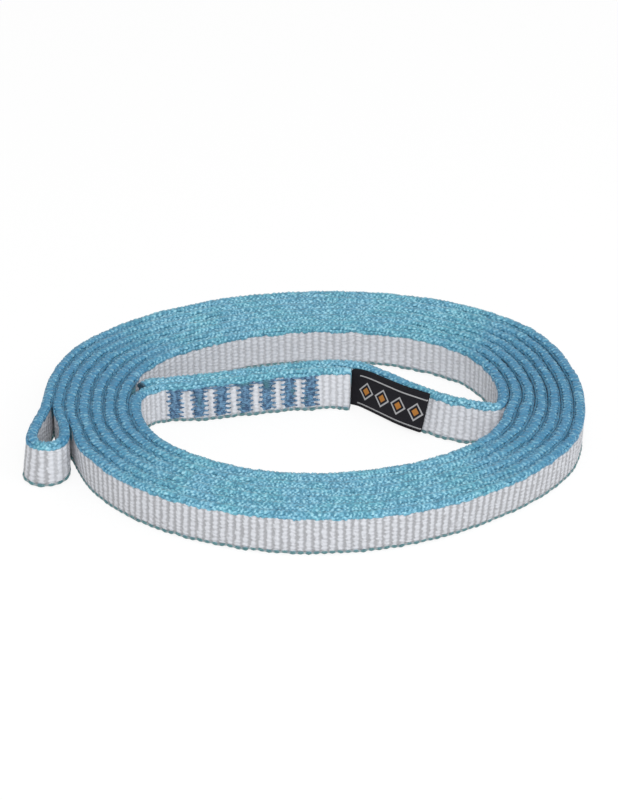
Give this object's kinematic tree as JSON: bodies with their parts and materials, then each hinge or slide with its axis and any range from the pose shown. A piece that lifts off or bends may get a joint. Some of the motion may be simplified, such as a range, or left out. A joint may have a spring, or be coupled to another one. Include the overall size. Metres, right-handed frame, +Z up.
{
  "type": "sewn climbing sling",
  "caption": "Narrow woven polyethylene sling, laid double and coiled on its edge, with a bar-tacked splice, a folded label and a bight at each end.",
  "frame": {"origin": "middle of the coiled sling's outline, on the surface that it stands on", "axes": "+X along the coil's long side, away from the outer bight, +Y towards the back, +Z up, across the tape's width"},
  "size_m": [0.1502, 0.113, 0.012],
  "materials": {
    "webbing": "ribbed white weave with light blue edges",
    "stitching": "steel blue bar-tack thread, slightly shiny",
    "label_cloth": "black woven label cloth, bare"
  },
  "bodies": {
    "sling": {"sling_webbing": "webbing", "label_root": "label_cloth", "bar_tack_1": "stitching", "bar_tack_2": "stitching", "bar_tack_3": "stitching", "bar_tack_4": "stitching", "bar_tack_5": "stitching", "bar_tack_6": "stitching", "bar_tack_7": "stitching"},
    "label": {"label_flap": "label_cloth"}
  },
  "joints": [
    {"name": "label_turn", "type": "hinge", "parent": "sling", "child": "label", "pos_m": [0.0134, 0.01535, 0.006], "axis": [0, 0, -1], "range_deg": [0, 60]}
  ]
}
